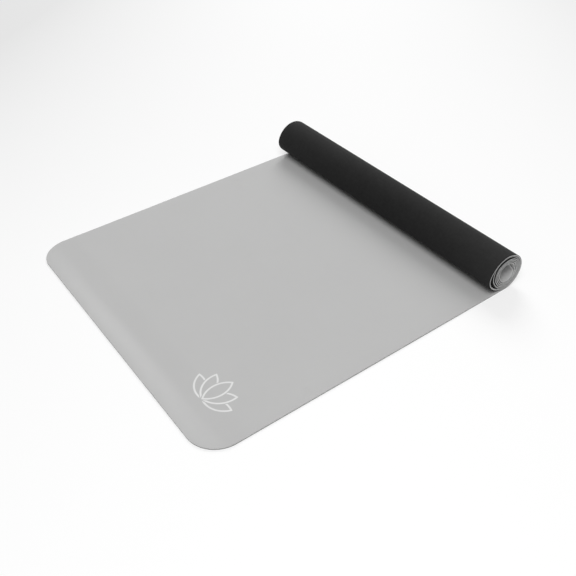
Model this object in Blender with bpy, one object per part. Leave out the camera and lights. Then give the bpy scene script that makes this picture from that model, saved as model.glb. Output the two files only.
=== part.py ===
"""A yoga mat, its front half laid flat and the rest of its length wound into a loose roll.

The mat is one long sheet of two bonded layers: a soft grey top layer and a black rubber base.
Both layers follow one line through the side of the mat. The line runs along the floor from the
front edge, leaves the floor under the roll, and winds up the far side, over the top and inwards,
turn inside turn, until the whole length of the mat is used up.

X runs across the mat, Y from the front edge to the roll, and Z up. The origin is on the floor,
under the middle of the part's outer box.
"""
import math
from typing import NamedTuple

import bmesh
import bpy
import numpy as np

# The sheet as it is cut, before it is rolled.
MAT_LENGTH = 1.730
MAT_WIDTH = 0.610
CORNER_RADIUS = 0.052
BASE_THICKNESS = 0.0010
BOND_GAP = 0.0003
TOP_THICKNESS = 0.0015

# The way it lies. The roll's outer size follows from the length that is left to wind.
FLAT_LENGTH = 0.603
BORE_RADIUS = 0.0140
TURN_GAP = 0.0005

# The roll is a little wider than it is high, and its oval leans back towards the flat stretch.
OVAL = 0.0011
OVAL_LEAN_DEGREES = -20.0

# The outermost turn is slack: it stands off the turn inside it, most on the side over the flat.
SLACK = 0.0048
SLACK_MIDDLE_DEGREES = 285.0
SLACK_SPREAD_DEGREES = 75.0

# The roll's weight presses the foam thinner under its foot, and the foam eases back beyond that.
PRESSED_DEPTH = 0.0002
PRESSED_HALF_LENGTH = 0.0140
PRESSED_EASE = 0.0060

# How finely curves are cut into straight steps.
STEPS_PER_TURN = 36
CORNER_STEPS = 10
FLAT_STEPS = 4
SEARCH_STEPS = 400
HALVINGS = 50

# Finishes: linear colour and roughness.
GREY_FOAM = ((0.515, 0.515, 0.512), 0.78)
BLACK_RUBBER = ((0.026, 0.026, 0.027), 0.88)
SHARP_EDGE_DEGREES = 40.0

SHEET_THICKNESS = BASE_THICKNESS + BOND_GAP + TOP_THICKNESS
TURN_PITCH = SHEET_THICKNESS + TURN_GAP
WOUND_LENGTH = MAT_LENGTH - FLAT_LENGTH
FULL_TURN = math.tau
STEP = FULL_TURN / STEPS_PER_TURN


class SheetLine(NamedTuple):
    """The whole sheet seen from its side: one entry of each kind for each cross-section."""

    faces: np.ndarray  # the black face's point
    inwards: np.ndarray  # the direction through the sheet, from black to grey
    halves: np.ndarray  # half the sheet's width
    thicknesses: np.ndarray


def clear_scene():
    for thing in list(bpy.data.objects):
        bpy.data.objects.remove(thing, do_unlink=True)


def slack_at(turned):
    """How far the slack turn stands off: a smooth swell about its middle, and zero elsewhere."""
    from_middle = turned - math.radians(SLACK_MIDDLE_DEGREES)
    spread = math.radians(SLACK_SPREAD_DEGREES)
    if abs(from_middle) >= spread:
        return 0.0
    return SLACK * math.cos(from_middle / spread * math.pi / 2) ** 2


def roll_radius(turned, turns):
    """Radius of the base's outer face, from the roll's axis.

    turned is the angle wound so far, in radians: it starts straight below the axis and grows up
    the far side, over the top and down over the flat stretch. turns is the roll's whole count.
    """
    outermost = BORE_RADIUS + SHEET_THICKNESS + TURN_PITCH * turns
    wound_in = TURN_PITCH * turned / FULL_TURN
    oval = OVAL * math.cos(2 * (turned - math.radians(OVAL_LEAN_DEGREES)))
    return outermost - wound_in - oval + slack_at(turned)


def roll_point(turned, turns):
    """A point of the base's outer face, as (y, z) from the roll's axis."""
    radius = roll_radius(turned, turns)
    return np.array([radius * math.sin(turned), -radius * math.cos(turned)])


def roll_inward(turned, turns):
    """Unit direction through the sheet there, from the black face to the grey face."""
    nearby = STEP / STEPS_PER_TURN
    along = roll_point(turned + nearby, turns) - roll_point(turned - nearby, turns)
    along /= np.linalg.norm(along)
    return np.array([-along[1], along[0]])


def touch_angle(turns):
    """Angle at which the roll is lowest, which is where the sheet leaves the floor."""
    tries = [STEP * step / SEARCH_STEPS for step in range(-SEARCH_STEPS, SEARCH_STEPS + 1)]
    return min(tries, key=lambda turned: roll_point(turned, turns)[1])


def corner_distances():
    """Distances from an end of the mat at which its rounded corners get a cross-section."""
    leans = [math.pi / 2 * step / CORNER_STEPS for step in range(CORNER_STEPS)]
    return [CORNER_RADIUS * (1 - math.cos(lean)) for lean in leans]


def roll_angles(turns):
    """Angles of the cross-sections, with extra ones where the inner end's corners are cut round."""
    start = touch_angle(turns)
    end = FULL_TURN * turns
    end_radius = BORE_RADIUS + SHEET_THICKNESS / 2
    corner = [end - distance / end_radius for distance in corner_distances()]
    steps = int((end - start) / STEP)
    regular = [start + STEP * step for step in range(steps + 1)]
    clear = STEP / 3
    kept = [angle for angle in regular if all(abs(angle - cut) > clear for cut in corner)]
    return sorted(kept + corner)


def middle_length(faces, inwards):
    """Length along the middle of the sheet's thickness, from the first cross-section to each."""
    middles = faces + inwards * SHEET_THICKNESS / 2
    steps = np.linalg.norm(np.diff(middles, axis=0), axis=1)
    return np.concatenate([[0.0], np.cumsum(steps)])


def wind(turns):
    """Outer face points, directions through the sheet and lengths along it, for the roll."""
    angles = roll_angles(turns)
    faces = np.array([roll_point(turned, turns) for turned in angles])
    inwards = np.array([roll_inward(turned, turns) for turned in angles])
    return faces, inwards, middle_length(faces, inwards)


def find_turns():
    """The count of turns that uses up the wound length, found by halving a range."""
    low = 0.0
    high = WOUND_LENGTH / (FULL_TURN * (BORE_RADIUS + SHEET_THICKNESS / 2))
    for _ in range(HALVINGS):
        middle = (low + high) / 2
        if wind(middle)[2][-1] < WOUND_LENGTH:
            low = middle
        else:
            high = middle
    return (low + high) / 2


def pressed_at(lengths):
    """How much thinner the foam is, at distances along the sheet from its front edge."""
    from_foot = np.abs(lengths - FLAT_LENGTH)
    eased = (from_foot - PRESSED_HALF_LENGTH) / PRESSED_EASE
    return PRESSED_DEPTH * (1 - np.clip(eased, 0.0, 1.0))


def flat_distances():
    """Distances from the front edge of the flat stretch's cross-sections."""
    pressed = FLAT_LENGTH - PRESSED_HALF_LENGTH
    straight = np.linspace(CORNER_RADIUS, pressed - PRESSED_EASE, FLAT_STEPS)
    return np.array(corner_distances() + list(straight) + [pressed])


def half_width(from_front, from_back):
    """Half the mat's width at a place, less where an end's corners are rounded."""
    nearest = min(from_front, from_back)
    if nearest >= CORNER_RADIUS:
        return MAT_WIDTH / 2
    chord = math.sqrt(max(nearest * (2 * CORNER_RADIUS - nearest), 0.0))
    return MAT_WIDTH / 2 - CORNER_RADIUS + chord


def sheet_line():
    """The sheet's flat stretch and its roll in one line, placed in the part's frame."""
    turns = find_turns()
    roll_faces, roll_inwards, wound = wind(turns)
    floor_to_axis = -roll_faces[0][1]
    distances = flat_distances()
    flat_faces = np.stack([distances - FLAT_LENGTH, np.full(len(distances), -floor_to_axis)], 1)
    flat_faces[:, 0] += roll_faces[0][0]
    flat_inwards = np.tile([0.0, 1.0], (len(distances), 1))
    faces = np.concatenate([flat_faces, roll_faces])
    inwards = np.concatenate([flat_inwards, roll_inwards])
    lengths = np.concatenate([distances, wound + FLAT_LENGTH])
    halves = np.array([half_width(length, lengths[-1] - length) for length in lengths])
    thicknesses = SHEET_THICKNESS - pressed_at(lengths)
    middle = (faces[:, 0].min() + faces[:, 0].max()) / 2
    faces -= np.array([middle, -floor_to_axis])
    print(f"turns {turns:.3f}, sheet {lengths[-1]:.4f} m long")
    print(f"roll {floor_to_axis * 2:.4f} m across its foot, axis {-middle:.4f} m along Y")
    return SheetLine(faces, inwards, halves, thicknesses)


def least_gap(line):
    """Shortest way from a point of the black face to the grey face of the turn around it."""
    greys = line.faces + line.inwards * line.thicknesses[:, None]
    starts = greys[:-1]
    runs = greys[1:] - starts
    squares = (runs ** 2).sum(axis=1)
    skip = STEPS_PER_TURN // 2
    least = math.inf
    for index in range(len(flat_distances()) + skip, len(line.faces)):
        ways = line.faces[index] - starts[:index - skip]
        along = (ways * runs[:index - skip]).sum(axis=1) / squares[:index - skip]
        feet = np.clip(along, 0.0, 1.0)[:, None] * runs[:index - skip]
        least = min(least, np.linalg.norm(ways - feet, axis=1).min())
    return least


def make_finish(name, finish):
    colour, roughness = finish
    material = bpy.data.materials.new(name)
    material.use_nodes = True
    shader = material.node_tree.nodes["Principled BSDF"]
    shader.inputs["Base Color"].default_value = (*colour, 1.0)
    shader.inputs["Roughness"].default_value = roughness
    shader.inputs["Metallic"].default_value = 0.0
    return material


def make_layer(name, line, lowers, uppers, material):
    """One layer of the sheet, between two depths measured from the black face.

    Each cross-section is a rectangle across the mat, and walls join it to the next one.
    """
    outers = line.faces + line.inwards * lowers[:, None]
    inners = line.faces + line.inwards * uppers[:, None]
    model = bmesh.new()
    rings = []
    for half, outer, inner in zip(line.halves, outers, inners):
        corners = ((-half, outer), (half, outer), (half, inner), (-half, inner))
        rings.append([model.verts.new((x, place[0], place[1])) for x, place in corners])
    for ring, following in zip(rings, rings[1:]):
        for side in range(len(ring)):
            other = (side + 1) % len(ring)
            model.faces.new((ring[side], ring[other], following[other], following[side]))
    model.faces.new(rings[0][::-1])
    model.faces.new(rings[-1])
    bmesh.ops.recalc_face_normals(model, faces=model.faces)
    mesh = bpy.data.meshes.new(name)
    model.to_mesh(mesh)
    model.free()
    mesh.shade_smooth()
    mesh.set_sharp_from_angle(angle=math.radians(SHARP_EDGE_DEGREES))
    mesh.materials.append(material)
    layer = bpy.data.objects.new(name, mesh)
    bpy.context.scene.collection.objects.link(layer)
    return layer


def main():
    clear_scene()
    line = sheet_line()
    print(f"least gap between turns {least_gap(line) * 1000:.3f} mm")
    black = make_finish("black_rubber", BLACK_RUBBER)
    grey = make_finish("grey_foam", GREY_FOAM)
    black_faces = np.zeros(len(line.faces))
    bond_faces = np.full(len(line.faces), BASE_THICKNESS)
    make_layer("rubber_base", line, black_faces, bond_faces, black)
    make_layer("top_layer", line, bond_faces + BOND_GAP, line.thicknesses, grey)


main()
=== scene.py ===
# %% [markdown]
# A yoga mat, half unrolled. The real thing is one long sheet made of two layers that are
# bonded face to face: soft grey foam on top, grippy black rubber below. The front half lies
# flat, and the rest is still wound into a roll at the far end, with the black side out.
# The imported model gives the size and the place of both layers. This lesson sets up a camera,
# gives each layer its fine shape and its finish, then lays a floor and hangs soft lamps.

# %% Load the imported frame
import math

import bmesh
import bpy
import numpy as np
from mathutils import Matrix, Vector


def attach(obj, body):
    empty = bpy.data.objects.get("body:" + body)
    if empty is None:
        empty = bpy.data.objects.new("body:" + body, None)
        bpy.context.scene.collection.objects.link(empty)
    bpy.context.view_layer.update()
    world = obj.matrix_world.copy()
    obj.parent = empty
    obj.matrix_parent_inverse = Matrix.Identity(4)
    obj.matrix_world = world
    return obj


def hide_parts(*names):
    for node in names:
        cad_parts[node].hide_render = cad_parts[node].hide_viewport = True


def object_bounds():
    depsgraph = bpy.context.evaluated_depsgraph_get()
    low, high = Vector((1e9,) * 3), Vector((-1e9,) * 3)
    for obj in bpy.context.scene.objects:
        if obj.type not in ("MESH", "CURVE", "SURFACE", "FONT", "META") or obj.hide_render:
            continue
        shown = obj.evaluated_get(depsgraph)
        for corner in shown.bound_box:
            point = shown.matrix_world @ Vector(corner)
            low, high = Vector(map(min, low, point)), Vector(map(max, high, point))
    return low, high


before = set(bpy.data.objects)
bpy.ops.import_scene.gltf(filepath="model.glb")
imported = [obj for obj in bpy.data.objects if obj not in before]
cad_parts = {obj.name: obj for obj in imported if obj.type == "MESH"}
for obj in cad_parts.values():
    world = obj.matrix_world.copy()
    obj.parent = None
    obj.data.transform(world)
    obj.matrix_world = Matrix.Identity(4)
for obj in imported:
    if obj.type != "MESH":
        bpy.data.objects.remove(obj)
cad_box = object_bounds()
MM = 0.001
print("CAD box, mm:", [[round(value / MM, 1) for value in corner] for corner in cad_box])

# %% [markdown]
# The camera comes first, because every later choice is judged through it. The photograph
# was taken from the right of the front edge, about 0.85 m above the floor, looking down
# and across the mat. Its lens is given as a focal length in pixels of a square picture of
# 576 pixels, and the sensor's width turns that into millimetres.

# %% Place the camera
PICTURE_PIXELS = 576
FOCAL_PIXELS = 755.8
SENSOR_MM = 36.0
CAMERA_FROM_FRONT_EDGE = Vector((0.9094, -0.2707, 0.8551))
CAMERA_TURN_DEGREES = 55.20
CAMERA_DIP_DEGREES = 39.96
CAMERA_TILT_DEGREES = -1.98

front_edge_y = cad_box[0].y


def look_along(turn, dip, tilt):
    """Camera axes for a turn to the left of +Y, a dip below the horizon and a tilt, in radians."""
    level = Vector((math.cos(turn), math.sin(turn), 0))
    ahead = Vector((
        -math.sin(turn) * math.cos(dip),
        math.cos(turn) * math.cos(dip),
        -math.sin(dip),
    ))
    raised = level.cross(ahead)
    right = level * math.cos(tilt) + raised * math.sin(tilt)
    up = raised * math.cos(tilt) - level * math.sin(tilt)
    return Matrix((right, up, -ahead)).transposed()


camera = bpy.data.objects.new("camera", bpy.data.cameras.new("camera"))
bpy.context.scene.collection.objects.link(camera)
camera.data.sensor_width = SENSOR_MM
camera.data.lens = SENSOR_MM * FOCAL_PIXELS / PICTURE_PIXELS
camera_axes = look_along(
    math.radians(CAMERA_TURN_DEGREES),
    math.radians(CAMERA_DIP_DEGREES),
    math.radians(CAMERA_TILT_DEGREES),
)
camera_place = CAMERA_FROM_FRONT_EDGE + Vector((0, front_edge_y, 0))
camera.matrix_world = Matrix.Translation(camera_place) @ camera_axes.to_4x4()
bpy.context.scene.camera = camera
print(f"lens {camera.data.lens:.2f} mm")

# %% [markdown]
# Seen from its side, the whole mat is one line: flat along the floor, then wound inwards.
# A plain spiral would give a perfect roll, and a real one isn't perfect: it sags a little
# under its own weight, and its outermost turn has come loose on the side over the flat
# stretch. So the outermost turn goes through listed knots, and each further turn
# follows the one around it, one sheet thickness and a little air further in.

# %% Sizes of the sheet and of its roll
MAT_LENGTH = 1.730
MAT_WIDTH = 0.610
CORNER_RADIUS = 0.052
RUBBER_THICKNESS = 1.0 * MM
FOAM_THICKNESS = 1.75 * MM
BOND_LINE = 0.02 * MM
SHEET_THICKNESS = RUBBER_THICKNESS + FOAM_THICKNESS

AXIS_FROM_FRONT_EDGE = 0.6026
AXIS_HEIGHT = 37.5 * MM

# Degrees turned from straight below the axis, and the radius of the black face there in mm.
# The far side of the roll is at 90, its top at 180, and the side over the flat at 270.
OUTER_TURN = (
    (0, 38.2), (15, 38.4), (30, 38.8), (60, 39.1), (90, 38.9), (105, 38.0), (120, 37.2),
    (140, 36.5), (160, 36.5), (180, 36.9), (200, 37.2), (222, 37.9), (240, 38.9), (255, 40.1),
    (267, 40.9), (278, 40.6), (290, 39.3), (303, 37.4), (318, 35.6), (334, 34.4), (350, 34.4),
    (360, 34.7),
)

# Degrees turned, and the air in mm between the outermost turn and the second.
SECOND_TURN_AIR = (
    (360, 0.1), (575, 0.1), (592, 0.5), (605, 2.2), (618, 4.4), (631, 5.6), (645, 5.7),
    (658, 4.9), (672, 3.2), (688, 1.3), (704, 0.2), (720, 0.1),
)

# The same, between the second turn and the third.
THIRD_TURN_AIR = (
    (720, 0.1), (805, 0.1), (818, 0.6), (828, 0.7), (842, 0.1), (870, 0.3), (900, 0.7),
    (945, 0.8), (970, 1.0), (1000, 1.1), (1030, 0.8), (1050, 0.3), (1080, 0.1),
)

# Further in, a turn stands off the one around it in a few places only: the middle of each
# place and its reach to both sides in degrees turned, and the air there in mm.
LATER_GAPS = ((1185, 20, 0.8), (1912, 27, 0.8), (2297, 26, 1.0))

# Everywhere else there is very little air, with some more on the side over the flat stretch.
INNER_AIR = 0.1 * MM
LOOSE_AIR = 0.22 * MM
LOOSE_MIDDLE_DEGREES = 300
LOOSE_POWER = 3

FULL_TURN_DEGREES = 360
STEPS_PER_TURN = 144
MOST_TURNS = 7
print(f"sheet {SHEET_THICKNESS / MM:.2f} mm thick, {MAT_WIDTH} m wide, {MAT_LENGTH} m long")

# %% [markdown]
# A curve object could go through the knots, but its radius at a given angle would have to be
# searched for. A cubic piece from knot to knot gives it directly, with a lean at each knot
# that follows from the knots beside it. A sheet bends and doesn't crease, so the second
# helper rounds the corner where one limit takes over from another.

# %% Draw a smooth curve through knots
CLAMP_SOFTNESS = 0.25 * MM


def smooth_through(knots, at):
    """Height of a cubic curve through knots of (place, height), at an array of places."""
    places, heights = np.array(knots, float).T
    widths = np.diff(places)
    slopes = np.diff(heights) / widths
    inner = (slopes[:-1] * widths[1:] + slopes[1:] * widths[:-1]) / (widths[1:] + widths[:-1])
    leans = np.concatenate([slopes[:1], inner, slopes[-1:]])
    piece = np.clip(np.searchsorted(places, at, side="right") - 1, 0, len(widths) - 1)
    width = widths[piece]
    share = (at - places[piece]) / width
    near = (1 + 2 * share) * (1 - share) ** 2 * heights[piece]
    near += share * (1 - share) ** 2 * width * leans[piece]
    far = share ** 2 * (3 - 2 * share) * heights[piece + 1]
    far += share ** 2 * (share - 1) * width * leans[piece + 1]
    return near + far


def soft_least(one, other):
    """The smaller of two lengths, with the corner between them rounded off."""
    gap = np.abs(one - other) / CLAMP_SOFTNESS
    return np.minimum(one, other) - CLAMP_SOFTNESS * np.log1p(np.exp(-gap))


# %% [markdown]
# Nothing may sink into what it lies on. The outermost turn starts on the floor, and it comes
# back down onto the flat stretch, so near the foot its radius is held to what fits above
# either. From there on each turn follows the one around it. Where that one slants, the same
# thickness of sheet takes up more of the radius, and the slope term allows for it.

# %% Work out the roll's radius all along the line
# The foot is the part of a turn that lies within 60 degrees of straight below the axis.
FOOT_COSINE = 0.5

turned = np.arange(MOST_TURNS * STEPS_PER_TURN + 1) * FULL_TURN_DEGREES / STEPS_PER_TURN
turned_radians = np.radians(turned)
below = np.cos(turned_radians)
loose = np.clip(np.cos(turned_radians - math.radians(LOOSE_MIDDLE_DEGREES)), 0, 1)
air = INNER_AIR + LOOSE_AIR * loose ** LOOSE_POWER
for table in (SECOND_TURN_AIR, THIRD_TURN_AIR):
    covered = (turned >= table[0][0]) & (turned < table[-1][0])
    air[covered] = np.maximum(smooth_through(table, turned[covered]) * MM, INNER_AIR)
for middle, reach, depth in LATER_GAPS:
    air += depth * MM * np.cos(np.clip((turned - middle) / reach, -1, 1) * math.pi / 2) ** 2

radius = smooth_through(OUTER_TURN, np.minimum(turned, FULL_TURN_DEGREES)) * MM
stacked = np.where(turned > FULL_TURN_DEGREES / 2, SHEET_THICKNESS + INNER_AIR, 0)
low = below > FOOT_COSINE
lying = (AXIS_HEIGHT - stacked[low]) / below[low]
radius[low] = soft_least(radius[low], lying)
two_steps = 2 * math.tau / STEPS_PER_TURN
for index in range(STEPS_PER_TURN, len(turned)):
    around = index - STEPS_PER_TURN
    slope = math.log(radius[around + 1] / radius[max(around - 1, 0)]) / two_steps
    radius[index] = radius[around] - SHEET_THICKNESS * math.hypot(1, slope) - air[index]

axis_y = front_edge_y + AXIS_FROM_FRONT_EDGE
roll_y = axis_y + radius * np.sin(turned_radians)
roll_z = AXIS_HEIGHT - radius * below
print(f"roll {(roll_y.max() - roll_y.min()) / MM:.1f} mm wide, {roll_z.max() / MM:.1f} mm high")

# %% [markdown]
# The flat stretch needs few steps along its length, but many where its corners are cut
# round. Each step, or station, keeps the black face's point, the direction through the
# sheet towards the grey face, and the length used so far. The mat ends where its whole
# 1.73 m is used up, so the end of the roll inside the bore falls where the length puts it.

# %% Lay out the stations along the whole sheet
CORNER_STEPS = 34
FLAT_STEP = 6.0 * MM


def corner_places():
    """Distances from an end of the mat to the stations of its rounded corners."""
    leans = np.linspace(0, math.pi / 2, CORNER_STEPS + 1)
    return CORNER_RADIUS * (1 - np.cos(leans))


def line_directions(points):
    """Unit directions along a line of points."""
    along = np.gradient(points, axis=0)
    return along / np.linalg.norm(along, axis=1)[:, None]


straight_count = int((AXIS_FROM_FRONT_EDGE - CORNER_RADIUS) / FLAT_STEP)
straight = np.linspace(CORNER_RADIUS, AXIS_FROM_FRONT_EDGE, straight_count + 1)[1:-1]
flat_places = np.concatenate([corner_places(), straight])
flat_faces = np.stack([front_edge_y + flat_places, np.zeros(len(flat_places))], axis=1)
wound_faces = np.stack([roll_y, roll_z], axis=1)
all_faces = np.concatenate([flat_faces, wound_faces])
all_directions = line_directions(all_faces)
all_directions[: len(flat_faces)] = (1, 0)
all_inwards = np.stack([-all_directions[:, 1], all_directions[:, 0]], axis=1)
middle_line = all_faces + all_inwards * SHEET_THICKNESS / 2
steps = np.linalg.norm(np.diff(middle_line, axis=0), axis=1)
used = np.concatenate([[0], np.cumsum(steps)])

end_places = MAT_LENGTH - corner_places()[::-1]
regular = used[used < MAT_LENGTH - CORNER_RADIUS]
lengths = np.concatenate([regular, end_places])
faces = np.stack([np.interp(lengths, used, all_faces[:, axis]) for axis in range(2)], axis=1)
inwards = np.stack([np.interp(lengths, used, all_inwards[:, axis]) for axis in range(2)], axis=1)
inwards /= np.linalg.norm(inwards, axis=1)[:, None]
turns = np.interp(MAT_LENGTH, used[len(flat_faces):], turned) / FULL_TURN_DEGREES
print(f"{len(lengths)} stations, {turns:.2f} turns, {lengths[-1]:.3f} m of sheet")
last_turn = faces[-STEPS_PER_TURN:] + SHEET_THICKNESS * inwards[-STEPS_PER_TURN:]
bore_width, bore_height = np.ptp(last_turn, axis=0) / MM
print(f"bore {bore_width:.1f} mm wide, {bore_height:.1f} mm high")

# %% [markdown]
# Two turns that cut into each other would be a fault that no finish hides. So the room
# between them is measured: from each point of the black face, across the sheet, to the
# nearest point of the grey face around it. The least of these has to stay above zero.

# %% Measure how near the turns come to each other
turned_at = np.interp(lengths, used[len(flat_faces):], turned, left=0) / FULL_TURN_DEGREES


def least_air():
    """Least room across the sheet between a turn's black face and the grey face around it."""
    greys = faces + inwards * SHEET_THICKNESS
    least = math.inf
    for index in np.flatnonzero(turned_at > 1 / 2):
        ways = faces[index] - greys
        ways[turned_at > turned_at[index] - 1 / 2] = math.inf
        nearest = np.argmin((ways ** 2).sum(axis=1))
        least = min(least, ways[nearest] @ inwards[nearest])
    return least


print(f"least air between turns {least_air() / MM:.3f} mm")

# %% [markdown]
# A rolled mat never lies quite flat again. Its free end keeps a little of the curl, so the
# front edge stands a fraction of a millimetre higher, with a shallow dip behind it, and the
# sides aren't perfectly straight in height either. In the roll, each turn has crept a
# little sideways. Where a turn stands out further than the one around it, its black side
# shows as a dark band, and where it stands further in, the foam around it shows as a pale
# one. That is what makes a roll's end look like layers and not like a disc.

# %% Describe the sheet's lift and its creep
CURL_HEIGHT = 0.25 * MM
CURL_LENGTH = 0.045
CURL_LOST_AT_SIDES = 0.35
WAVE_HEIGHT = 0.35 * MM
WAVE_LENGTH = 0.105
WAVE_REACH = 0.16
WAVE_SLANT = 0.02
WAVE_MIDDLE = 0.75
WAVE_LOST_TO_RIGHT = 0.25
ROLL_REACH = 0.1

# Turns wound so far, and how far the sheet has slid to the right in mm.
CREEP = (
    (0, 0.0), (0.3, 0.2), (0.5, 0.0), (0.75, 0.1), (1.0, 0.0), (1.2, -0.2), (1.4, -0.9),
    (1.62, -0.9), (1.74, -0.1), (1.9, 0.0), (2.1, 0.1), (2.3, 0.2), (2.42, 1.2), (2.68, 1.3),
    (2.9, 0.6), (3.1, 0.4), (3.4, 1.1), (3.7, 1.2), (4.0, 0.6), (4.3, 1.1), (4.7, 1.0),
    (5.0, 0.6), (5.3, 0.4), (5.6, 1.0), (6.0, 0.7), (7.0, 0.9),
)


def lift_at(across, length):
    """How high the flat stretch stands off the floor, at a place on the unrolled sheet."""
    side = across / (MAT_WIDTH / 2)
    curl = max(1 - length / CURL_LENGTH, 0) ** 2 * (1 - CURL_LOST_AT_SIDES * side ** 2)
    phase = 2 * np.pi * (length + WAVE_SLANT * side) / WAVE_LENGTH
    fade = math.exp(-length / WAVE_REACH) * min(length / CURL_LENGTH, 1)
    wave = (1 - np.cos(phase)) / 2 * fade * (WAVE_MIDDLE - WAVE_LOST_TO_RIGHT * side)
    clear_of_roll = min(max((AXIS_FROM_FRONT_EDGE - length) / ROLL_REACH - 1, 0), 1)
    return (CURL_HEIGHT * curl + WAVE_HEIGHT * wave) * clear_of_roll


creeps = smooth_through(CREEP, turned_at) * MM
print(f"creep {creeps.min() / MM:.2f} to {creeps.max() / MM:.2f} mm")

# %% [markdown]
# Each layer is lofted, so every station gets a closed ring of points across the sheet. A
# knife leaves a cut edge that is nearly square, but foam and rubber both give a little, so
# the outer corner of each layer is rounded by a few tenths of a millimetre. The rounding
# follows the outline all round, the rounded corners included.

# %% Lay rings of points across the sheet
ACROSS_STEPS = 26
ROUND_STEPS = 4


def outline_lean(length):
    """Angle of the outline's outward normal: 0 straight out of an end, a quarter turn at a side."""
    from_end = np.minimum(length, MAT_LENGTH - length)
    return np.arccos(np.clip(1 - from_end / CORNER_RADIUS, 0, 1))


def layer_levels(plain, rounded, edge_radius):
    """Pairs of inset and depth, from the layer's plain face over its rounded outer corner."""
    turn = np.linspace(0, math.pi / 2, ROUND_STEPS + 1)
    towards_plain = math.copysign(edge_radius, plain - rounded)
    insets = edge_radius * (1 - np.cos(turn))
    depths = rounded + towards_plain * (1 - np.sin(turn))
    return [(0.0, plain), *zip(insets, depths)]


def sheet_row(station, across, depth, into):
    """Points across the sheet at a station and a depth, moved into the sheet from its end.

    Each point has six numbers: where it is, and where it was before the sheet was rolled.
    """
    length = lengths[station]
    inward = inwards[station]
    along = np.array([inward[1], -inward[0]])
    place = faces[station] + inward * depth + along * into
    same = np.ones(len(across))
    x = across + creeps[station]
    z = place[1] + lift_at(across, length)
    return np.stack([x, same * place[0], z, across, same * (length + into), same * depth], axis=1)


def layer_rings(levels):
    """One closed ring of points for each station, and the two end caps as grids of points."""
    shares = np.linspace(-1, 1, ACROSS_STEPS + 1)
    rings = []
    caps = []
    leans = outline_lean(lengths)
    halves = MAT_WIDTH / 2 - CORNER_RADIUS * (1 - np.sin(leans))
    for station, (length, half, lean) in enumerate(zip(lengths, halves, leans)):
        inward_sign = 1 if length < MAT_LENGTH / 2 else -1
        rows = []
        for inset, depth in levels:
            width = half - inset * math.sin(lean)
            into = inset * math.cos(lean) * inward_sign
            rows.append(sheet_row(station, shares * width, depth, into))
        left = [row[0] for row in rows[-2:0:-1]]
        right = [row[-1] for row in rows[1:-1]]
        rings.append([*rows[0], *right, *rows[-1][::-1], *left])
        if station in (0, len(lengths) - 1):
            caps.append(rows)
    return rings, caps


# %% [markdown]
# Walls join ring to ring, and a cap closes each end. What a knife has cut gets a finish of
# its own, so those faces take the second slot. Each point also remembers where it was before
# the sheet was rolled, as an attribute named "unrolled". Grain and print follow that, so
# they bend with the sheet as they do on a mat.

# %% Loft one layer of the sheet
# Places of the two finishes in a layer's list of materials.
SKIN, CUT = range(2)


def loft_layer(name, levels):
    """Mesh of one layer: ring to ring along the sheet, closed at both ends."""
    rings, caps = layer_rings(levels)
    model = bmesh.new()
    unrolled = []

    def lay(point):
        unrolled.extend(point[3:])
        return model.verts.new(point[:3])

    laid = [[lay(point) for point in ring] for ring in rings]
    count = len(laid[0])
    sides = len(levels) - 2
    first_side = ACROSS_STEPS
    second_side = 2 * ACROSS_STEPS + sides + 1
    for ring, following in zip(laid, laid[1:]):
        for spot in range(count):
            other = (spot + 1) % count
            wall = model.faces.new((ring[spot], ring[other], following[other], following[spot]))
            at_first = first_side <= spot < first_side + sides + 1
            at_second = second_side <= spot
            wall.material_index = CUT if at_first or at_second else SKIN
    for ring, rows in zip((laid[0], laid[-1]), caps):
        grid = [ring[: ACROSS_STEPS + 1]]
        for level in range(1, len(levels) - 1):
            middle = [lay(point) for point in rows[level][1:-1]]
            right = ring[ACROSS_STEPS + level]
            left = ring[count - level]
            grid.append([left, *middle, right])
        top = ring[ACROSS_STEPS + sides + 1: 2 * ACROSS_STEPS + sides + 2]
        grid.append(top[::-1])
        for row, above in zip(grid, grid[1:]):
            for spot in range(ACROSS_STEPS):
                face = model.faces.new((row[spot], row[spot + 1], above[spot + 1], above[spot]))
                face.material_index = CUT
    bmesh.ops.recalc_face_normals(model, faces=model.faces)
    mesh = bpy.data.meshes.new(name)
    model.to_mesh(mesh)
    model.free()
    mesh.attributes.new("unrolled", "FLOAT_VECTOR", "POINT").data.foreach_set("vector", unrolled)
    return mesh


# %% [markdown]
# The black layer's floor side is its outer face, at depth zero, and the grey layer's outer
# face is the top of the sheet. Between them is only the bond line, so thin that on the real
# mat it shows as nothing more than the line where the two colours meet.

# %% Build both layers and hand them to the frame
EDGE_RADIUS = 0.35 * MM
SHARP_DEGREES = 50


def lay_sheet(name, node, levels):
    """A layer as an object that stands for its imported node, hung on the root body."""
    sheet = bpy.data.objects.new(name, loft_layer(name, levels))
    bpy.context.scene.collection.objects.link(sheet)
    sheet.data.shade_smooth()
    sheet.data.set_sharp_from_angle(angle=math.radians(SHARP_DEGREES))
    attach(sheet, "root")
    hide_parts(node)
    return sheet


rubber_levels = layer_levels(RUBBER_THICKNESS, 0.0, EDGE_RADIUS)
foam_levels = layer_levels(RUBBER_THICKNESS + BOND_LINE, SHEET_THICKNESS, EDGE_RADIUS)
rubber = lay_sheet("black_rubber_sheet", "rubber_base", rubber_levels)
foam = lay_sheet("grey_foam_sheet", "top_layer", foam_levels)

# %% [markdown]
# Painted detail is kept in pictures when the mat leaves this scene, and a picture has only so
# many pixels. So each layer gets a plan: its faces laid out flat in one square, with the skin
# that is looked at drawn large, and what stays hidden in the roll or in the bond drawn small.
# The unrolled places make this easy, because a sheet that was never stretched lies flat
# without any distortion. The export looks for the plan under the name OFBake.

# %% Lay the faces of each layer out in a square
CORNERS_PER_FACE = 4
SKIN_TOLERANCE = SHEET_THICKNESS / 10

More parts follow.
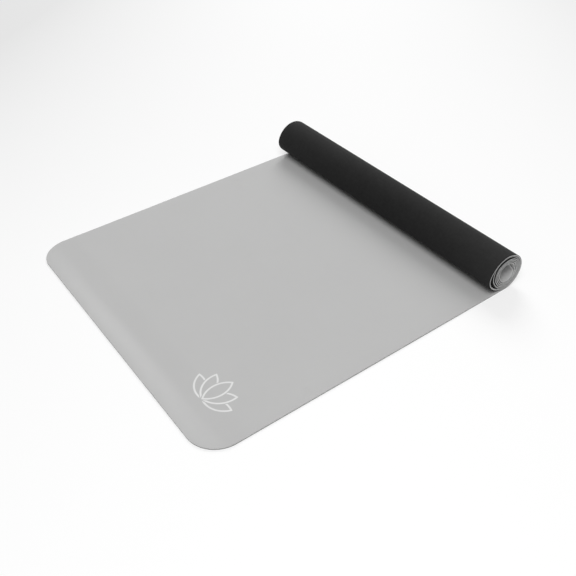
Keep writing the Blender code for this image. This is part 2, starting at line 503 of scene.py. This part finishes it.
# Areas of the square, each given by its low and its high corner. The cut edges are strips.
PLAN_SPLIT = 0.80
STRIP_STEP = 0.026
STRIP_HEIGHT = 0.018
BOND_AREA = ((0.0, 0.105), (PLAN_SPLIT, 0.19))
WOUND_AREA = ((0.81, 0.0), (1.0, 1.0))
CUT_AREAS = [
    ((0.0, row * STRIP_STEP), (PLAN_SPLIT, row * STRIP_STEP + STRIP_HEIGHT)) for row in range(4)
]

# Stretches of skin: the lengths from the front edge where each begins and ends, and its area.
FOAM_SKIN_AREAS = (
    (0.0, 0.62, ((0.0, 0.20), (PLAN_SPLIT, 1.0))),
    (0.62, MAT_LENGTH, WOUND_AREA),
)
RUBBER_SKIN_AREAS = (
    (0.0, 0.58, ((0.0, 0.20), (PLAN_SPLIT, 0.61))),
    (0.58, 0.86, ((0.0, 0.62), (PLAN_SPLIT, 1.0))),
    (0.86, MAT_LENGTH, WOUND_AREA),
)


def lay_plan(sheet, skin_depth, skin_areas):
    """Stores each face corner's place in the square as the sheet's map."""
    mesh = sheet.data
    places = np.empty(len(mesh.vertices) * 3)
    mesh.attributes["unrolled"].data.foreach_get("vector", places)
    corners = np.empty(len(mesh.loops), int)
    mesh.loops.foreach_get("vertex_index", corners)
    kinds = np.empty(len(mesh.polygons), int)
    mesh.polygons.foreach_get("material_index", kinds)
    across, length, depth = places.reshape(-1, 3)[corners].reshape(-1, CORNERS_PER_FACE, 3).T
    left = across.mean(axis=0) < 0
    middle = length.mean(axis=0)
    cut = kinds == CUT
    skin = ~cut & (np.abs(depth.mean(axis=0) - skin_depth) < SKIN_TOLERANCE)
    front = cut & (middle < CORNER_RADIUS)
    back = cut & (middle > MAT_LENGTH - CORNER_RADIUS)
    side = cut & ~front & ~back
    around_front = across + np.sign(across) * length
    around_back = across + np.sign(across) * (MAT_LENGTH - length)
    parts = [(skin & (middle >= start) & (middle < end), across, length, area)
             for start, end, area in skin_areas]
    parts.append((~cut & ~skin, length, across, BOND_AREA))
    edges = (
        (front, around_front), (back, around_back), (side & left, length), (side & ~left, length)
    )
    parts += [(chosen, first, depth, area) for (chosen, first), area in zip(edges, CUT_AREAS)]
    plan = np.zeros((len(kinds), CORNERS_PER_FACE, 2))
    for chosen, first, second, (low, high) in parts:
        spots = np.stack([first.T[chosen], second.T[chosen]], axis=-1)
        spots -= spots.min(axis=(0, 1))
        spots /= spots.max(axis=(0, 1))
        plan[chosen] = np.array(low) + spots * (np.array(high) - low)
    mesh.uv_layers.new(name="OFBake").data.foreach_set("uv", plan.ravel())
    print(f"{sheet.name}: {sum(chosen.sum() for chosen, *_ in parts)} faces in {len(parts)} parts")


lay_plan(foam, SHEET_THICKNESS, FOAM_SKIN_AREAS)
lay_plan(rubber, 0.0, RUBBER_SKIN_AREAS)

# %% [markdown]
# A finish is a graph of nodes, and graphs are hard to read as lists of links. A small class
# makes them read like sums: it holds one socket, and adding, multiplying or dividing it
# adds the Math node that does so. Every other node comes from its one method, node.

# %% A socket that can be used in sums


class Wire:
    """A socket of a material's nodes. Sums on wires add Math nodes."""

    def __init__(self, tree, socket=None):
        self.tree = tree
        self.socket = socket

    def node(self, kind, settings=None, sockets=None, output=0):
        """Adds a node: its settings first, then the value or the link of each socket."""
        made = self.tree.nodes.new(kind)
        for name, value in (settings or {}).items():
            setattr(made, name, value)
        for key, value in (sockets or {}).items():
            if isinstance(value, Wire):
                self.tree.links.new(value.socket, made.inputs[key])
            else:
                made.inputs[key].default_value = value
        return Wire(self.tree, made.outputs[output])

    def math(self, operation, first, second=0.0):
        return self.node("ShaderNodeMath", {"operation": operation}, {0: first, 1: second})

    def __add__(self, other):
        return self.math("ADD", self, other)

    def __radd__(self, other):
        return self.math("ADD", other, self)

    def __sub__(self, other):
        return self.math("SUBTRACT", self, other)

    def __rsub__(self, other):
        return self.math("SUBTRACT", other, self)

    def __mul__(self, other):
        return self.math("MULTIPLY", self, other)

    def __rmul__(self, other):
        return self.math("MULTIPLY", other, self)

    def __truediv__(self, other):
        return self.math("DIVIDE", self, other)

    def __rtruediv__(self, other):
        return self.math("DIVIDE", other, self)

    def __abs__(self):
        return self.math("ABSOLUTE", self)

    def root(self):
        return self.math("SQRT", self)

    def most(self, other):
        return self.math("MAXIMUM", self, other)

    def least(self, other):
        return self.math("MINIMUM", self, other)

    def held(self):
        """The value kept between 0 and 1."""
        return self.node("ShaderNodeClamp", sockets={"Value": self})

    def swing(self, amount):
        """Noise from 0 to 1 turned into a swing around zero."""
        return (self - 0.5) * amount

    def parts(self):
        """The three numbers of a vector."""
        split = self.node("ShaderNodeSeparateXYZ", sockets={"Vector": self})
        return [Wire(self.tree, socket) for socket in split.socket.node.outputs]

    def noise(self, size, detail=2.0, roughness=0.5):
        """Even noise from 0 to 1 with blotches of a size, taking this wire as the place."""
        sockets = {"Vector": self, "Scale": 1 / size, "Detail": detail, "Roughness": roughness}
        return self.node("ShaderNodeTexNoise", sockets=sockets)

    def mixed(self, low, high):
        """Two colours mixed by this wire.

        The Mix node repeats its socket names for each kind of data, so these go by number.
        """
        sockets = {0: self, 6: low, 7: high}
        return self.node("ShaderNodeMix", {"data_type": "RGBA"}, sockets, output=2)


def linear_grey(written):
    """Linear value of a neutral grey written from 0 to 255, by the upper part of the sRGB curve."""
    return ((written / 255 + 0.055) / 1.055) ** 2.4


def new_finish(name, shine):
    """An empty material, its Principled shader with a specular level, and the unrolled place."""
    material = bpy.data.materials.new(name)
    material.use_nodes = True
    shader = material.node_tree.nodes["Principled BSDF"]
    shader.inputs["Specular IOR Level"].default_value = shine
    start = Wire(material.node_tree)
    place = start.node("ShaderNodeAttribute", {"attribute_name": "unrolled"}, output="Vector")
    return material, shader, place


def put_on(shader, colour, roughness, height, depth):
    """Links a finish's colour, roughness and bump height to its shader."""
    bump = height.node("ShaderNodeBump", sockets={"Height": height, "Distance": depth})
    for name, wire in (("Base Color", colour), ("Roughness", roughness), ("Normal", bump)):
        wire.tree.links.new(wire.socket, shader.inputs[name])


# %% [markdown]
# The print is a plain lotus in pale ink, put on the foam by screen printing: a flat, thin
# film that leaves the foam's grain showing. Cutting it out of the mesh would give it an edge
# that ink doesn't have, so it is a mask in the material. Each petal is where two discs
# overlap, and folding the place about the middle line gives both sides of the flower at once.

# %% Draw the printed lotus as a mask
PRINT_ACROSS = 0.204
PRINT_FROM_FRONT_EDGE = 0.054
PRINT_LINE = 3.0 * MM
PRINT_GAP = 1.4 * MM
PRINT_SOFTNESS = 0.5 * MM

# Lean from upright in degrees, length and half width, from the middle petal outwards.
PETALS = ((0, 58 * MM, 13 * MM), (33, 56 * MM, 12 * MM), (62, 54 * MM, 11 * MM))


def inside_petal(across, along, lean, length, half_width):
    """How deep a place lies inside a petal that starts at zero, in metres, as a wire."""
    disc = (length ** 2 / 4 + half_width ** 2) / (2 * half_width)
    sine = math.sin(math.radians(lean))
    cosine = math.cos(math.radians(lean))
    up = across * sine + along * cosine - length / 2
    aside = abs(across * cosine - along * sine) + (disc - half_width)
    return disc - (up * up + aside * aside).root()


def lotus_mask(place):
    """Ink at a place on the unrolled sheet: 1 where it is printed and 0 elsewhere."""
    across, along, _ = place.parts()
    across = abs(across - PRINT_ACROSS)
    along = along - PRINT_FROM_FRONT_EDGE
    ink = None
    free = None
    for petal in PETALS:
        depth = inside_petal(across, along, *petal)
        line = PRINT_LINE / 2 - abs(depth - PRINT_LINE / 2)
        stroke = (line / PRINT_SOFTNESS + 0.5).held()
        ink = stroke if ink is None else ink.most(stroke * free)
        outside = (-PRINT_GAP / PRINT_SOFTNESS - depth / PRINT_SOFTNESS + 0.5).held()
        free = outside if free is None else free * outside
    return ink


# %% [markdown]
# The grey layer is closed-cell foam with a skin: matt, dry and very even, with a grain finer
# than half a millimetre. One flat colour would look like plastic, so the grey drifts by a
# percent or two over the sheet, the rim is rubbed a little lighter, and the skin's grain
# makes the shine uneven. The free end keeps a little of its curl, and the light and shade
# along it are painted into the colour: a faint pale band of painted highlight along the front
# edge, with a band of painted shade behind it. Where a knife cut through the foam there is no
# skin, and the open cells look coarser.

# %% Finish the grey foam
FOAM_GREY = linear_grey(183)
FOAM_ROUGHNESS = 0.76
GRAIN_SIZE = 0.45 * MM
CLOUD_SIZE = 16 * MM
DRIFT_SIZE = 0.14
# Where the painted highlight band and the painted shade band lie near the front edge, and how
# strong each is.
PAINTED_HIGHLIGHT_FROM_EDGE = 20 * MM
PAINTED_HIGHLIGHT_HALF = 22 * MM
PAINTED_HIGHLIGHT_WANDER = 0.8
PAINTED_HIGHLIGHT_LOST_AT_SIDES = 0.6
PAINTED_HIGHLIGHT_PALER = 0.09
PAINTED_SHADE_FROM_EDGE = 56 * MM
PAINTED_SHADE_HALF = 26 * MM
PAINTED_SHADE_DULLER = 0.02
RIM_PALER = 0.02
RIM_WIDTH = 5 * MM
INK_GREY = linear_grey(219)
INK_COVER = 0.95
INK_WEAR = 0.5
INK_HEIGHT = 0.3
INK_SMOOTHER = 0.12
FOAM_CUT_GREY = linear_grey(189)
FOAM_CUT_ROUGHNESS = 0.86
FOAM_CELL = 0.34 * MM
FOAM_BLOTCH = 3 * MM
CELLS_MEAN = 0.4
BLUE_SHARE = 0.996


def tint(wire, grey):
    """A near-neutral colour of a grey, made lighter or darker by a wire around 1."""
    value = wire * grey
    sockets = {"Red": value, "Green": value, "Blue": value * BLUE_SHARE}
    return value.node("ShaderNodeCombineColor", sockets=sockets)


def painted_curl_bands(across, along, drift):
    """Painted light by the front edge: a painted highlight band, and painted shade behind it."""
    side = across / (MAT_WIDTH / 2)
    off_highlight = (along - PAINTED_HIGHLIGHT_FROM_EDGE) / PAINTED_HIGHLIGHT_HALF + drift.swing(PAINTED_HIGHLIGHT_WANDER)
    painted_highlight = (1 - off_highlight * off_highlight).held() * (1 - side * side * PAINTED_HIGHLIGHT_LOST_AT_SIDES)
    off_shade = (along - PAINTED_SHADE_FROM_EDGE) / PAINTED_SHADE_HALF
    painted_shade = (1 - off_shade * off_shade).held()
    return painted_highlight * painted_highlight * PAINTED_HIGHLIGHT_PALER - painted_shade * PAINTED_SHADE_DULLER


def foam_skin():
    """The foam's moulded face, with its print."""
    material, shader, place = new_finish("grey foam skin", shine=0.32)
    grain = place.noise(GRAIN_SIZE, detail=3.0, roughness=0.6)
    cloud = place.noise(CLOUD_SIZE)
    drift = place.noise(DRIFT_SIZE)
    across, along, _ = place.parts()
    rim = ((abs(across) - (MAT_WIDTH / 2 - RIM_WIDTH)) / RIM_WIDTH).held()
    shade = cloud.swing(0.02) + drift.swing(0.04) + grain.swing(0.05) + rim * RIM_PALER + 1
    # Painted light: a pale painted highlight band along the front edge, with painted shade behind
    # it.
    shade = shade + painted_curl_bands(across, along, drift)
    ink = lotus_mask(place)
    worn_ink = ink * (cloud.swing(INK_WEAR) + INK_COVER).held()
    colour = worn_ink.mixed(tint(shade, FOAM_GREY), tint(grain.swing(0.06) + 1, INK_GREY))
    roughness = FOAM_ROUGHNESS + grain.swing(0.2) + cloud.swing(0.08) - ink * INK_SMOOTHER
    put_on(shader, colour, roughness, height=grain + ink * INK_HEIGHT, depth=0.08 * MM)
    return material


def cut_cells(place, size):
    """The pattern of cells that a knife has opened: 0 in each cell's middle, more at its rim."""
    return place.node("ShaderNodeTexVoronoi", sockets={"Vector": place, "Scale": 1 / size})


def foam_cut():
    """Foam that a knife has opened: cells without a skin."""
    material, shader, place = new_finish("grey foam cut open", shine=0.2)
    cells = cut_cells(place, FOAM_CELL)
    shade = (cells - CELLS_MEAN) * 0.22 + place.noise(FOAM_BLOTCH).swing(0.08) + 1
    roughness = FOAM_CUT_ROUGHNESS + cells.swing(0.12)
    put_on(shader, tint(shade, FOAM_CUT_GREY), roughness, height=cells, depth=0.12 * MM)
    return material


foam.data.materials.append(foam_skin())
foam.data.materials.append(foam_cut())
print("grey foam:", [material.name for material in foam.data.materials])

# %% [markdown]
# The black layer has to grip the floor, so its face is moulded with a fine pebble that also
# kills the shine. Black rubber isn't black in a picture: it returns about two percent of the
# light, and its rough face sends back more at a low angle, which is what draws the roll's
# round form. The pebble is a smooth cell pattern with a finer noise on top. Faint scuffs come
# from being carried. Both ends of the roll are painted a little paler than its middle, the
# right end most: painted light, for a roll lit more at its ends than along its middle.

# %% Finish the black rubber
RUBBER_GREY = 0.0095
RUBBER_ROUGHNESS = 0.9
PEBBLE_SIZE = 0.85 * MM
RUBBER_GRAIN = 0.3 * MM
RUBBER_CLOUD = 22 * MM
DUST_SIZE = 0.11
SCUFF_SIZE = 6 * MM
# The roll's tone along its length: a darker middle and paler ends, as painted light.
MIDDLE_SHADE = 0.84
ENDS_PAINTED_LIGHTER = 0.7
RIGHT_END_PAINTED_LIGHTER = 0.4
RUBBER_CUT_GREY = 0.014
RUBBER_CUT_ROUGHNESS = 0.92
RUBBER_CELL = 0.28 * MM
RUBBER_BLOTCH = 2 * MM


def rubber_skin():
    """The rubber's moulded face, with its pebble."""
    material, shader, place = new_finish("black rubber skin", shine=0.22)
    pebble_sockets = {"Vector": place, "Scale": 1 / PEBBLE_SIZE, "Smoothness": 0.6}
    pebble = place.node("ShaderNodeTexVoronoi", {"feature": "SMOOTH_F1"}, pebble_sockets)
    grain = place.noise(RUBBER_GRAIN)
    cloud = place.noise(RUBBER_CLOUD)
    dust = place.noise(DUST_SIZE, detail=4.0, roughness=0.6)
    scuff = place.noise(SCUFF_SIZE, detail=3.0, roughness=0.65)
    across, _, _ = place.parts()
    to_end = across / (MAT_WIDTH / 2)
    # Painted light: the roll's ends are painted paler than its middle, the right end most.
    painted_light_ends = to_end * to_end * (to_end * RIGHT_END_PAINTED_LIGHTER + ENDS_PAINTED_LIGHTER)
    shade = cloud.swing(0.5) + dust.swing(0.45) + (CELLS_MEAN - pebble) * 0.3 + scuff.swing(1.1)
    shade = shade + painted_light_ends + MIDDLE_SHADE
    roughness = RUBBER_ROUGHNESS + grain.swing(0.12) + dust.swing(0.1)
    height = 0.5 - pebble + grain * 0.35
    put_on(shader, tint(shade, RUBBER_GREY), roughness, height, depth=0.11 * MM)
    return material


def rubber_cut():
    """Rubber that a knife has opened, with fine closed cells."""
    material, shader, place = new_finish("black rubber cut open", shine=0.2)
    cells = cut_cells(place, RUBBER_CELL)
    shade = (cells - CELLS_MEAN) * 0.5 + place.noise(RUBBER_BLOTCH).swing(0.3) + 1
    roughness = RUBBER_CUT_ROUGHNESS + cells.swing(0.1)
    put_on(shader, tint(shade, RUBBER_CUT_GREY), roughness, height=cells, depth=0.1 * MM)
    return material


rubber.data.materials.append(rubber_skin())
rubber.data.materials.append(rubber_cut())
print("black rubber:", [material.name for material in rubber.data.materials])

# %% [markdown]
# The mat lies on a plain white floor that runs on past every edge of the picture. Lamps
# strong enough to make it white would make the mat too pale. So the floor and the room each
# have two levels: one where they are seen, by the camera, in a gloss or through glass, and
# one for the light that they throw. A Light Path node tells the two kinds of ray apart.

# %% Lay the floor and tell seen light from thrown light
FLOOR_HALF = 6.0

floor_mesh = bpy.data.meshes.new("floor")
floor_ends = ((-1, -1), (1, -1), (1, 1), (-1, 1))
floor_corners = [(x * FLOOR_HALF, y * FLOOR_HALF, 0) for x, y in floor_ends]
floor_mesh.from_pydata(floor_corners, [], [(0, 1, 2, 3)])
floor = bpy.data.objects.new("floor", floor_mesh)
bpy.context.scene.collection.objects.link(floor)
print(f"floor {2 * FLOOR_HALF:.0f} m square")


def where_seen(tree):
    """1 for rays of the camera, of gloss and of glass, and 0 for the light that spreads."""
    rays = Wire(tree).node("ShaderNodeLightPath").socket.node.outputs
    camera_ray, glossy_ray, clear_ray = (
        Wire(tree, rays[name]) for name in ("Is Camera Ray", "Is Glossy Ray", "Is Transmission Ray")
    )
    return camera_ray.most(glossy_ray).most(clear_ray)


# %% [markdown]
# To come out white with only pale shadows, the floor glows where it is seen, on top of what
# it reflects. The photograph's white falls off a little towards its far corners, so the glow
# fades to both sides of a line across the floor and along that line too. Far outside the
# picture it comes back, so that the floor meets the white room without an edge when the mat
# is looked at from low down.

# %% Finish the floor
FLOOR_SEEN = 0.5
FLOOR_THROWN = 0.84
FLOOR_GLOW = 0.49
GLOW_LINE_DEGREES = 55.2
GLOW_LINE_OFFSET = 0.23
GLOW_LOST_ASIDE = 0.07
GLOW_LOST_FAR_ASIDE = 0.08
GLOW_LOST_BEHIND = 0.03
MOST_GLOW_LOST = 0.2
HAZE_FROM = 1.7
HAZE_TO = 4.5

floor_paint = bpy.data.materials.new("white floor")
floor_paint.use_nodes = True
floor_shader = floor_paint.node_tree.nodes["Principled BSDF"]
floor_shader.inputs["Specular IOR Level"].default_value = 0.0
floor_shader.inputs["Roughness"].default_value = 0.9
start = Wire(floor_paint.node_tree)
floor_x, floor_y, _ = start.node("ShaderNodeTexCoord", output="Object").parts()
line_cosine = math.cos(math.radians(GLOW_LINE_DEGREES))
line_sine = math.sin(math.radians(GLOW_LINE_DEGREES))
aside = floor_x * line_cosine + floor_y * line_sine - GLOW_LINE_OFFSET
behind = (floor_y * line_cosine - floor_x * line_sine).most(0)
lost_aside = aside * aside * (behind * GLOW_LOST_FAR_ASIDE + GLOW_LOST_ASIDE)
lost = (lost_aside + behind * GLOW_LOST_BEHIND).least(MOST_GLOW_LOST)
away = (floor_x * floor_x + floor_y * floor_y).root()
haze = ((away - HAZE_FROM) / (HAZE_TO - HAZE_FROM)).held()
seen = where_seen(floor_paint.node_tree)
floor_white = seen * (FLOOR_SEEN - FLOOR_THROWN) + FLOOR_THROWN
floor_paint.node_tree.links.new(floor_white.socket, floor_shader.inputs["Base Color"])
floor_glow = seen * (FLOOR_GLOW - lost + haze)
floor_paint.node_tree.links.new(floor_glow.socket, floor_shader.inputs["Emission Color"])
floor_shader.inputs["Emission Strength"].default_value = 1.0
floor_mesh.materials.append(floor_paint)
print(f"floor glows at {FLOOR_GLOW} and throws back {FLOOR_THROWN} of its light")

# %% [markdown]
# The light is a pale room with two large soft lamps. The key lamp hangs high in front of the
# mat and to the right, lights the flat stretch evenly and reaches under the roll's bulge. The
# back lamp stands low behind the roll on the left: it skims over the roll's top, which is
# what shows the round of black rubber, and it throws the soft dark band along the roll's
# foot. The room's own light fills what neither lamp reaches.

# %% Light the room
ROOM_LIGHT = 0.25
LAMP_SIZE = 2.8
LAMP_DISTANCE = 4.5


def hang_lamp(name, left_degrees, up_degrees, watts):
    """A round soft lamp that faces the mat, from an angle to the left of +Y and a height."""
    left = math.radians(left_degrees)
    up = math.radians(up_degrees)
    level = math.cos(up)
    way = Vector((-math.sin(left) * level, math.cos(left) * level, math.sin(up)))
    lamp = bpy.data.objects.new(name, bpy.data.lights.new(name, "AREA"))
    bpy.context.scene.collection.objects.link(lamp)
    lamp.data.shape = "DISK"
    lamp.data.size = LAMP_SIZE
    lamp.data.energy = watts
    lamp.location = way * LAMP_DISTANCE
    lamp.rotation_euler = way.to_track_quat("Z", "Y").to_euler()
    print(f"{name}: {watts} W")


hang_lamp("key lamp", left_degrees=-130, up_degrees=60, watts=127)
hang_lamp("back lamp", left_degrees=50, up_degrees=36, watts=98)

world = bpy.data.worlds.new("room")
bpy.context.scene.world = world
world.use_nodes = True
room = world.node_tree.nodes["Background"]
room.inputs["Color"].default_value = (1, 1, 1, 1)
room_strength = where_seen(world.node_tree) * (1 - ROOM_LIGHT) + ROOM_LIGHT
world.node_tree.links.new(room_strength.socket, room.inputs["Strength"])
bpy.context.scene.view_settings.view_transform = "Standard"
print(f"room light {ROOM_LIGHT}")
